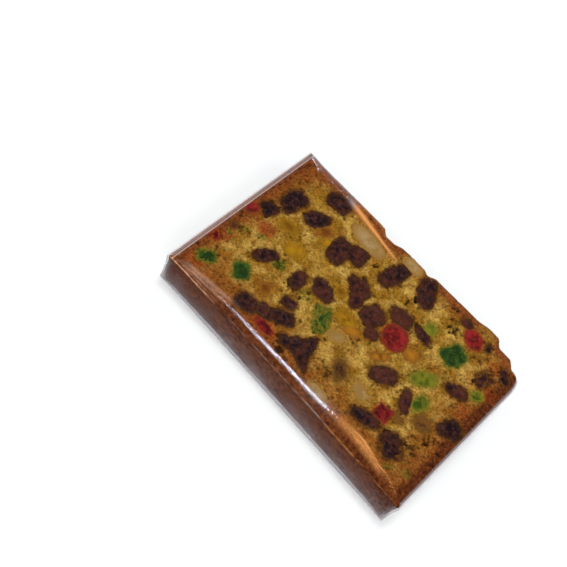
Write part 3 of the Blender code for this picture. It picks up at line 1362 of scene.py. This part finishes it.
    def _pores(self, points: np.ndarray, tree: KDTree, on_face: np.ndarray) -> np.ndarray:
        """Depth of the open pores at each point: small torn hollows, a few round bubbles and torn holes.

        Args:
            points: The cake's points before their relief.
            tree: The same points, for finding those near a place.
            on_face: 1 on the cut faces and 0 on the crusts.

        Returns:
            The depths in millimetres.
        """
        torn = swell(points, 0.8, 11) + 0.5 * swell(points, 0.6, 12)
        patchy = 0.25 * swell(points, 6.0, 13)
        for spot in OPEN_CRUMB:
            near = self._near(tree, spot, spot.long)
            patchy[near] += 0.75 * eased(1.4 - self._share_out(points[near], spot))
        depth = self.pore_deep * eased((torn - 0.64 + patchy) / 0.4) * mixed(0.45, 1.0, on_face)
        draw = np.random.default_rng(self.bubble_seed)
        for k in draw.choice(len(points), self.bubbles, replace=False):
            if on_face[k] < 0.5 and draw.random() < self.bubble_loss:
                continue
            radius = mixed(*self.bubble_radii, draw.random() ** 3)  # most are small
            reach = self.bubble_reach * radius
            centre = points[k] + draw.uniform(-0.2, 0.2, 3)
            for _, index, distance in tree.find_range(centre, reach):
                bowl = max(0.0, 1.0 - (distance / reach) ** 2)
                depth[index] = max(depth[index], self.bubble_deep * radius * bowl)
        for tear in TEARS:
            near = self._near(tree, tear, tear.long)
            ragged = 0.9 * swell(points[near], 1.3, 33) + 0.7 * swell(points[near], 0.6, 34)
            share = self._share_out(points[near], tear) + ragged
            depth[near] = np.maximum(depth[near], self.tear_deep * eased((1.0 - share) / 0.6))
        return depth

    def _fruit_marks(self, points: np.ndarray, tree: KDTree) -> tuple[np.ndarray, np.ndarray]:
        """What the fruit does to the crumb: the bed that each lies in, and the colour it lends.

        Args:
            points: The cake's points before their relief.
            tree: The same points, for finding those near a fruit.

        Returns:
            How far each point is lowered, and one RGBA stain for each.
        """
        carve = np.zeros(len(points))
        stain = np.zeros((len(points), 4))
        ragged = 0.8 * swell(points, 1.5, 21) + 0.7 * swell(points, 0.7, 22)
        broken = 0.7 * swell(points, 1.6, 23) + 0.7 * swell(points, 0.8, 24)
        for morsel in self.morsels:
            style = STYLES[morsel.kind]
            near = self._near(tree, morsel.place.translation, morsel.spot.long * 0.6 + 3.0)
            beyond, off_face = morsel.beyond(points[near])
            level = off_face < self.fruit_reach
            creeping = style.nibble * ragged[near] + morsel.spot.broken * (0.5 + broken[near])
            bed = self.bed_deep * eased(-(beyond + creeping) / 0.35) * level
            carve[near] = np.maximum(carve[near], bed)
            fading = beyond / style.halo_reach + 0.3 * ragged[near]
            strength = style.halo_share * eased(1.0 - fading) * level
            strength *= abs(morsel.place[2][2])  # a crust takes up none of the colour
            self._stain(stain, near, strength, style.halo)
        for kind, spots in VEILED.items():
            for spot in spots:
                near = self._near(tree, spot, spot.long * 0.75)
                specks = swell(points[near], 1.0, 32)
                share = self._share_out(points[near], spot) + 0.3 * swell(points[near], 1.9, 31)
                strength = (0.35 + 0.5 * spot.tone + 0.25 * specks) * eased(1.5 - share - 0.4 * specks)
                self._stain(stain, near, strength, STYLES[kind].halo)
        return carve, stain

    @staticmethod
    def _share_out(points: np.ndarray, spot: Spot) -> np.ndarray:
        """How far out points lie in a spot's ellipse.

        Args:
            points: The points, of which x and y are read.
            spot: The spot.

        Returns:
            0 for a point in the middle, 1 for one on the outline, and more outside.
        """
        turn = math.radians(spot.turn)
        x, y = (points[:, :2] - np.array([spot.x, spot.y])).T
        along_it = x * math.cos(turn) + y * math.sin(turn)
        across_it = y * math.cos(turn) - x * math.sin(turn)
        return np.hypot(along_it / (spot.long / 2), across_it / (spot.wide / 2))

    def _near(self, tree: KDTree, centre: Vector | Spot, reach: float) -> np.ndarray:
        """Finds the points near a place.

        Args:
            tree: The points.
            centre: The place, or a spot in the upper face.
            reach: How far from it they may be.

        Returns:
            Their indices.
        """
        if isinstance(centre, Spot):
            centre = Vector((centre.x, centre.y, self.shape.thickness))
        return np.array([index for _, index, _ in tree.find_range(centre, reach)], dtype=int)

    @staticmethod
    def _stain(stain: np.ndarray, near: np.ndarray, strength: np.ndarray, colour: str) -> None:
        """Lays a colour over the stain that is there, wherever it is the stronger.

        Args:
            stain: RGBA stains of all the points, which it changes.
            near: Indices of the points that the colour reaches.
            strength: How strong it is at each.
            colour: The colour in hex.
        """
        wins = strength > stain[near, 3]
        stain[near[wins], :3] = linear(colour)[:3]
        stain[near[wins], 3] = strength[wins]

    def _zones(self, points: np.ndarray, on_face: np.ndarray, pore: np.ndarray) -> np.ndarray:
        """Works out how the cake is baked at each point.

        Args:
            points: The cake's points before their relief.
            on_face: 1 on the cut faces and 0 on the crusts.
            pore: Depth of the pores.

        Returns:
            Crust share, how darkly it is baked, painted pore shade and toasted share, which also holds
        a little painted shade, one row for each point.
        """
        edge = self._edge_distance(points)
        start, top, y = edge[:, 0], edge[:, 3], points[:, 1]
        widths, reaches = np.array(self.crust_widths), np.array(self.toast_reaches)
        ragged = swell(points, 3.2, 51) + 0.5 * swell(points, 1.2, 52)
        off = edge + 0.7 * ragged[:, None]
        inner = (off - widths).min(axis=1)
        crust = np.where(on_face > 0.5, 0.92 * eased(0.5 - inner / 2.0), 1.0)
        toast = 0.95 * (1.0 - (off - widths) / (reaches - widths)).max(axis=1).clip(0.0, 1.0)
        toast += 0.12 * (1.0 - eased(y / 45.0))  # painted shade: a little more toast towards the base crust
        toast += 0.6 * eased(1.3 - np.hypot(start, top) / 12.0)  # and the most toast at this corner
        toast += 0.3 * eased((18.0 - start) / 10.0) * eased((y - 22.0) / 14.0)
        bake = np.array(self.bakes)[(off / widths).argmin(axis=1)] + 0.25 * eased(1.0 - edge.min(axis=1))
        # Painted shade in the pores, fainter on the crusts
        shade = np.clip(pore / 0.5, 0.0, 1.0) * np.where(on_face > 0.5, 0.9, 0.35)
        return columns(crust, np.clip(bake, 0.0, 1.0), shade, toast)

    def build_fruit(self) -> list[bpy.types.Object]:
        """Makes one joined piece for each kind of fruit.

        Returns:
            The pieces.
        """
        pieces = []
        for kind in Kind:
            morsels = [morsel for morsel in self.morsels if morsel.kind is kind]
            meshes = [morsel.build() for morsel in morsels]
            starts = np.cumsum([0] + [len(points) for points, _ in meshes])
            points = np.concatenate([self._kept_inside(points) for points, _ in meshes])
            faces = np.concatenate([faces + start for (_, faces), start in zip(meshes, starts)])
            joined = [list(dict.fromkeys(face)) for face in faces.tolist()]
            piece = new_piece(kind.value, points, joined)
            add_attribute(piece, "cut", np.concatenate([morsel.cut for morsel in morsels]))
            piece.data.materials.append(STYLES[kind].finish.build())
            pieces.append(piece)
        return pieces

    def _kept_inside(self, points: np.ndarray) -> np.ndarray:
        """Presses points back under the film.

        Args:
            points: The fruit's points.

        Returns:
            The same points, all inside the film.
        """
        shape, below = self.shape, 0.5 * self.clearance
        from_base, from_crest = 0.3, 0.2
        x = np.clip(points[:, 0], self.inset.start, shape.length - self.inset.end)
        depth = np.clip(1.0 - points[:, 2] / shape.thickness, 0.0, 1.0)
        y = np.clip(points[:, 1], shape.base(x, depth) + from_base, shape.crest(x, depth) - from_crest)
        return columns(x, y, np.clip(points[:, 2], below, shape.top_height(x, y) - below))


# -------------------------------------------------------------------------------------------------- film


def graded(length: float) -> np.ndarray:
    """Shares of a length, closer and closer together towards each end.

    Args:
        length: The length in millimetres.

    Returns:
        The shares, from 0 to 1.
    """
    edge = np.concatenate([np.arange(0.0, 2.4, 0.2), np.arange(2.4, 8.0, 0.4)])
    middle = np.linspace(8.0, length - 8.0, round(length - 16.0) + 1)
    return np.concatenate([edge, middle, length - edge[::-1]]) / length


@dataclass(frozen=True)
class HighlightBand:
    """A painted highlight: a milky band in the upper film that runs beside the crease of the base crust."""

    strength: float
    start: float  # it comes up from here along the slice, over the length of its rise
    rise: float
    end: float
    fall: float
    middle: float  # mm from the crease, or for one on the slope its share of the way up
    width: float
    lean: float = 0.0  # how much further its middle lies from the crease for each mm past 10 mm
    even: float = 1.0
    streaky: float = 0.5
    on_slope: bool = False

    def at(self, x: np.ndarray, low: np.ndarray, up_slope: np.ndarray, streaks: np.ndarray) -> np.ndarray:
        """How milky it is at each point.

        Args:
            x: Distances along the slice.
            low: Distances from the crease.
            up_slope: The same as shares of the slope's reach.
            streaks: Noise from -1 to 1, long along the slice.

        Returns:
            One value for each point.
        """
        away = (up_slope if self.on_slope else low) - self.middle - self.lean * (x - 10.0)
        strength = self.strength * (self.even + self.streaky * streaks)
        return strength * window(x, self.start, self.rise, self.end, self.fall) * band(away, self.width)


# Painted highlights, in milky bands on the slope beside the base crease
HIGHLIGHT_BANDS: tuple[HighlightBand, ...] = (
    HighlightBand(0.26, 3.0, 5.0, 29.0, 9.0, 3.0, 0.8, lean=0.12),
    HighlightBand(0.24, 3.0, 5.0, 29.0, 9.0, 1.8, 0.35, lean=0.07),
    HighlightBand(0.20, 56.0, 8.0, 84.0, 10.0, 0.8, 0.3, even=0.8, on_slope=True),
    HighlightBand(0.40, 75.0, 10.0, 104.0, 3.0, 0.94, 0.045, streaky=0.0, on_slope=True),
)


@dataclass
class FilmWrap:
    """The clear film: creased over the slice's edges, drawn in at its sides and gathered at its foot."""

    shape: WrapShape
    crease_radius: float = 0.35
    crease_rings: int = 4
    side_rings: int = 22
    foot_radius: float = 0.7
    foot_rings: int = 4
    # The upper film's waves and the sides' tension folds: depth, length and number of each noise
    waves: tuple[tuple[float, float, int], ...] = ((0.02, 6.0, 61), (0.008, 1.4, 62))
    folds: tuple[tuple[float, float, int], ...] = ((0.10, 2.6, 71), (0.05, 1.1, 72))
    fold_stretch: float = 0.12  # upright, how much the folds' noise is stretched out
    # Distance along the slice, and how closely the slope beside the crease clings there
    base_cling: tuple[tuple[float, float], ...] = (
        (0.0, 1.0), (14.0, 0.97), (24.0, 0.75), (34.0, 0.3), (45.0, 0.0), (64.0, 0.0), (75.0, 0.8),
        (92.0, 0.8), (104.0, 0.95),
    )
    crest_cling: tuple[tuple[float, float], ...] = (
        (0.0, 0.0), (5.0, 0.0), (9.0, 0.8), (24.0, 0.93), (34.0, 0.98), (48.0, 0.98),
    )

    def build(self) -> bpy.types.Object:
        """Makes the film's shell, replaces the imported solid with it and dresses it.

        Returns:
            The piece.
        """
        shape, radius = self.shape, self.crease_radius
        slab = Slab(graded(shape.length), graded(shape.rise))
        plan = shape.plan(slab.grid_u, slab.grid_v, 0.0, Inset(radius, radius, radius, radius))
        top = shape.top_height(*plan.T)
        level = columns(*plan.T, top)
        top = top - unevenness(level, self.waves)
        slab.add_top(columns(*plan.T, top))
        parts = [np.full_like(top, -1.0)]
        for part, height, inset, drawn in self._profile(top[slab.border]):
            depth = np.clip(1.0 - height / shape.thickness, 0.0, 1.0)
            ring = shape.plan(slab.border_u, slab.border_v, depth, Inset(inset, inset, inset, inset))
            slab.add_ring(columns(*shape.drawn_in(ring, drawn).T, height))
            parts.append(np.full_like(height, part))
        low = shape.drawn_in(shape.plan(slab.grid_u, slab.grid_v, 1.0, Inset()), self.foot_radius)
        slab.add_bottom(columns(*low.T, 0.0))
        parts.append(np.full_like(top, 2.0))
        points, faces = slab.arrays()
        points = points + self._wrinkles(points)
        piece = new_piece("clear_film", points, faces)
        add_attribute(piece, "gather", self._gather(points, np.concatenate(parts)))
        piece.data.materials.append(ClearFilm().build())
        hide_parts(NODE)
        return piece

    def _profile(self, edge: np.ndarray) -> Iterator[tuple[float, np.ndarray, float, float]]:
        """The rings of the film's side, from its crease down to its foot.

        Args:
            edge: Heights of the upper film's border.

        Yields:
            Each ring's part (see _gather), its heights, its inset and how far it is drawn in.
        """
        crease, foot = self.crease_radius, self.foot_radius
        for k in range(1, self.crease_rings + 1):
            turn = math.pi / 2 * k / self.crease_rings
            height = edge - crease * (1.0 - math.cos(turn))
            yield turn / math.pi, height, crease * (1.0 - math.sin(turn)), 0.0
        start = edge - crease
        for k in range(1, self.side_rings + 1):
            share = k / self.side_rings
            yield 1.0, mixed(start, foot, share), 0.0, self.shape.waist * math.sin(math.pi * share)
        for k in range(1, self.foot_rings):
            turn = math.pi / 2 * k / self.foot_rings
            height = np.full_like(edge, foot * (1.0 - math.sin(turn)))
            yield 1.0, height, 0.0, foot * (1.0 - math.cos(turn))

    def _wrinkles(self, points: np.ndarray) -> np.ndarray:
        """Small upright tension folds in the sides.

        Args:
            points: The film's points.

        Returns:
            How far each point moves, which is always inward.
        """
        x, y, z = points.T
        shape = self.shape
        mid = np.sin(np.pi * np.clip(z / shape.thickness, 0.0, 1.0)) * (z < shape.thickness - 1.7)
        fold = unevenness(points * np.array([1.0, 1.0, self.fold_stretch]), self.folds)
        inward_x = np.where(x < 2.5, 1.0, 0.0) - np.where(x > shape.length - 3.0, 1.0, 0.0)
        inward_y = np.where(y < 3.2, 1.0, 0.0) - np.where(y > shape.rise - 3.4, 1.0, 0.0)
        return columns(inward_x, inward_y, 0.0) * (fold * mid)[:, None]

    def _gather(self, points: np.ndarray, part: np.ndarray) -> np.ndarray:
        """How milky the film is at each point, with its painted highlights, how it clings and how far its
        fringes colour it.

        Args:
            points: The film's points.
            part: -1 on the upper cut face, 0 to 0.5 round the crease, 1 on the sides and 2 underneath.

        Returns:
            One linear RGBA value for each point.
        """
        shape = self.shape
        x, y, z = points.T
        depth = np.clip(1.0 - z / shape.thickness, 0.0, 1.0)
        crest = shape.crest(x, depth)
        low = y - shape.base(x, depth)
        gaps = columns(x, shape.end_x(y, crest) - x, low, crest - y)
        side, gap = gaps.argmin(axis=1), gaps.min(axis=1)
        by_base = low < crest - y
        up_slope = low / along(shape.base_sag, x)[0]
        streaks = swell(points * np.array([0.25, 1.0, 0.5]), 0.9, 81)
        fine = swell(points, 0.7, 82)
        bridged = eased((44.0 - x) / 8.0)

        # The creases themselves from the start, the end, the base and the top, as painted highlights,
        # and the veil beside each
        base_crease_glint = mixed(0.10, 0.45, eased((22.0 - x) / 8.0)) + 0.15 * fine
        crest_crease_glint = 0.15 + 0.45 * bridged * mixed(0.4, 1.0, eased((13.0 - x) / 6.0))
        crease = np.choose(side, (0.75, 0.5, base_crease_glint, crest_crease_glint))
        veil = np.choose(side, (0.3, 0.3, 0.0, 0.12 + 0.05 * bridged))
        veil_reach = np.choose(side, (2.0, 1.6, 1.0, 1.2 + 1.0 * bridged))
        on_face = veil * eased((1.0 - gap / veil_reach) * 2.0)
        on_face += 0.55 * band(x - 1.9, 0.22)  # painted highlight: the second line beside the first crease
        # painted highlights in milky bands beside the base crease
        on_face += sum(highlight_band.at(x, low, up_slope, streaks) for highlight_band in HIGHLIGHT_BANDS)
        # Painted highlight: a warm glow on the slope towards the far end
        highlight_haze = 0.42 * (0.8 + 0.5 * streaks) * window(x, 73.0, 11.0, 98.0, 8.0)
        on_face += highlight_haze * window(up_slope, 0.36, 0.3, 1.0, 0.08)

        # Painted highlights along fine folds: beside the crease of the base crust, and slanting down from
        # the top crust
        fold = np.clip(0.55 + 0.9 * fine, 0.0, 1.0) * mixed(0.45, 0.1, window(x, 14.0, 12.0, 66.0, 8.0))
        on_face += fold * eased((96.0 - x) / 6.0) * band(low - 0.55, 0.16)
        on_face += fold * eased((30.0 - x) / 10.0) * band(low - 1.15, 0.14)
        slant_glint = y - (64.6 - 0.1375 * (x - 24.0))
        slant_glint_width = mixed(1.0, 0.45, eased((x - 28.0) / 20.0))
        on_face += 0.8 * window(x, 19.0, 9.0, 49.0, 3.0) * band(slant_glint, slant_glint_width)
        on_face = np.maximum(on_face, crease * eased(1.0 - (gap - self.crease_radius) / 0.35))

        # Over the edge as a painted highlight, down the sides, where it gathers at the corners and the foot,
        # and underneath
        round_it = crease * band(part - 0.1, 0.22)
        # Milkier towards the foot, where it gathers, and partly a painted reflection of the floor
        side_milk_and_reflection = (0.01 + 0.03 * eased(depth / 0.6) + 0.42 * depth**5) * (1.0 + 0.5 * streaks + 0.25 * fine)
        side_milk_and_reflection += 0.35 * eased(1.0 - np.sort(gaps, axis=1)[:, 1] / 3.0)
        # paler at the top of the far end
        side_milk_and_reflection += 0.4 * (side == 1) * eased((y - 36.0) / 24.0) * eased(1.0 - depth / 0.4)
        beneath = 0.6 * eased(1.0 - gap / 1.5)
        milky = np.select([part < 0.0, part < 0.9, part < 1.5], [on_face, round_it, side_milk_and_reflection], beneath)

        # It lies on the cake, but for the slopes where it mirrors the lamps
        (base_cling,), (crest_cling,) = along(self.base_cling, x), along(self.crest_cling, x)
        drop = shape.thickness - shape.top_height(x, y)
        flat = eased(1.0 - drop / 0.02) * np.where(by_base, eased((up_slope - 1.0) / 0.4), 1.0)
        lying = mixed(np.where(by_base, base_cling, crest_cling), 1.0, flat)
        cling = np.where(part < 0.0, lying, 1.0 - 0.5 * depth**3)
        warm = np.maximum(eased((x - 68.0) / 8.0), 0.65 * eased((29.0 - x) / 9.0))
        fringe = np.select(
            [part > 0.9, (part >= 0.0) & (side == 2), side == 0, side == 1, by_base],
            [0.0, 0.9, 0.2, 0.0, warm],
            eased((x - 22.0) / 5.0),
        )
        return columns(np.clip(milky, 0.0, 0.9), np.clip(cling, 0.0, 1.0), fringe, 1.0)


# ------------------------------------------------------------------------------------------------ studio


@dataclass(frozen=True)
class Lamp:
    """A soft rectangular lamp that shines at the slice."""

    name: str
    direction: tuple[float, float, float]
    distance: float  # in metres, as its size is
    size: tuple[float, float]
    radiance: float
    colour: str = "ffffff"

    def build(self, target: Vector) -> None:
        """Places the lamp so that it faces the target.

        Args:
            target: The point that it shines at.
        """
        data = bpy.data.lights.new(self.name, "AREA")
        data.shape = "RECTANGLE"
        data.size, data.size_y = self.size
        data.energy = self.radiance * math.pi * self.size[0] * self.size[1]
        data.color = linear(self.colour)[:3]
        lamp = bpy.data.objects.new(self.name, data)
        away = Vector(self.direction).normalized()
        lamp.location = target + away * self.distance
        lamp.rotation_mode = "QUATERNION"
        lamp.rotation_quaternion = away.to_track_quat("Z", "Y")
        bpy.context.scene.collection.objects.link(lamp)


@dataclass(frozen=True)
class Studio:
    """The floor, the lamps, the sky and the camera."""

    aim: tuple[float, float, float] = (30.46, 23.49, 16.0)  # in the slice's frame, mm
    azimuth: float = 17.08
    elevation: float = 60.68
    roll: float = 32.17
    distance: float = 0.31446
    lens: float = 61.9
    clip: tuple[float, float] = (0.01, 10.0)
    sky: float = 0.06
    floor_half: float = 3.0
    floor_gap_mm: float = 0.05
    lamps: tuple[Lamp, ...] = (
        Lamp("ceiling_lamp", (-0.08, 0.14, 0.98), 2.5, (0.65, 0.28), 32.0),
        Lamp("ceiling_glow", (-0.08, 0.14, 0.98), 2.6, (0.80, 0.60), 3.0),
        Lamp("camera_lamp", (0.25, -0.60, 1.05), 1.0, (0.06, 0.06), 120.0, "fff6ea"),
        Lamp("front_softbox", (0.25, -0.95, 0.95), 1.3, (1.4, 0.8), 2.1),
        Lamp("left_softbox", (-1.0, -0.15, 0.9), 1.3, (0.9, 0.9), 1.5),
        Lamp("right_softbox", (1.0, 0.1, 0.9), 1.3, (0.9, 0.9), 1.5),
        Lamp("back_strip", (-0.15, 0.69, 0.70), 2.5, (0.40, 0.18), 30.0),
        Lamp("back_window", (-0.15, 0.76, 0.63), 2.6, (0.40, 1.0), 4.0),
    )

    def build(self) -> None:
        """Makes everything round the slice."""
        self._floor()
        self._sky()
        for lamp in self.lamps:
            lamp.build(Vector((CAD_LOW + CAD_HIGH) / 2))
        self._camera()
        bpy.context.scene.view_settings.view_transform = "Standard"

    def _floor(self) -> None:
        """A plain pale floor just under the slice."""
        half, level = self.floor_half, CAD_LOW.z - self.floor_gap_mm * MM
        corners = [(-half, -half, level), (half, -half, level), (half, half, level), (-half, half, level)]
        mesh = bpy.data.meshes.new("floor")
        mesh.from_pydata(corners, [], [(0, 1, 2, 3)])
        floor = bpy.data.objects.new("floor", mesh)
        bpy.context.scene.collection.objects.link(floor)
        mesh.materials.append(LitAcrylic().build())

    def _sky(self) -> None:
        """Dim even light from all round."""
        world = bpy.data.worlds.new("studio")
        world.use_nodes = True
        background = world.node_tree.nodes["Background"]
        background.inputs["Color"].default_value = (1.0, 1.0, 1.0, 1.0)
        background.inputs["Strength"].default_value = self.sky
        bpy.context.scene.world = world

    def _camera(self) -> None:
        """The camera looks down on the slice, with its picture turned so that the slice lies across it."""
        azimuth, elevation = math.radians(self.azimuth), math.radians(self.elevation)
        level = Vector((math.sin(azimuth), -math.cos(azimuth), 0.0)) * math.cos(elevation)
        back = level + Vector((0.0, 0.0, math.sin(elevation)))
        data = bpy.data.cameras.new("camera")
        data.lens = self.lens
        data.clip_start, data.clip_end = self.clip
        camera = bpy.data.objects.new("camera", data)
        camera.rotation_mode = "QUATERNION"
        upright = (-back).to_track_quat("-Z", "Y")
        camera.rotation_quaternion = upright @ Quaternion((0.0, 0.0, 1.0), math.radians(self.roll))
        camera.location = Vector(to_row_frame(np.array(self.aim))) + back * self.distance
        bpy.context.scene.collection.objects.link(camera)
        bpy.context.scene.camera = camera


def main() -> None:
    """Builds the slice and its studio in order."""
    logging.basicConfig(level=logging.INFO, format="%(message)s")
    size = (CAD_HIGH - CAD_LOW) / MM
    shape = WrapShape(length=size.x, thickness=size.z)
    cake = Cake(shape)
    cake.build()
    cake.build_fruit()
    FilmWrap(shape).build()
    Studio().build()


if __name__ == "__main__":
    main()
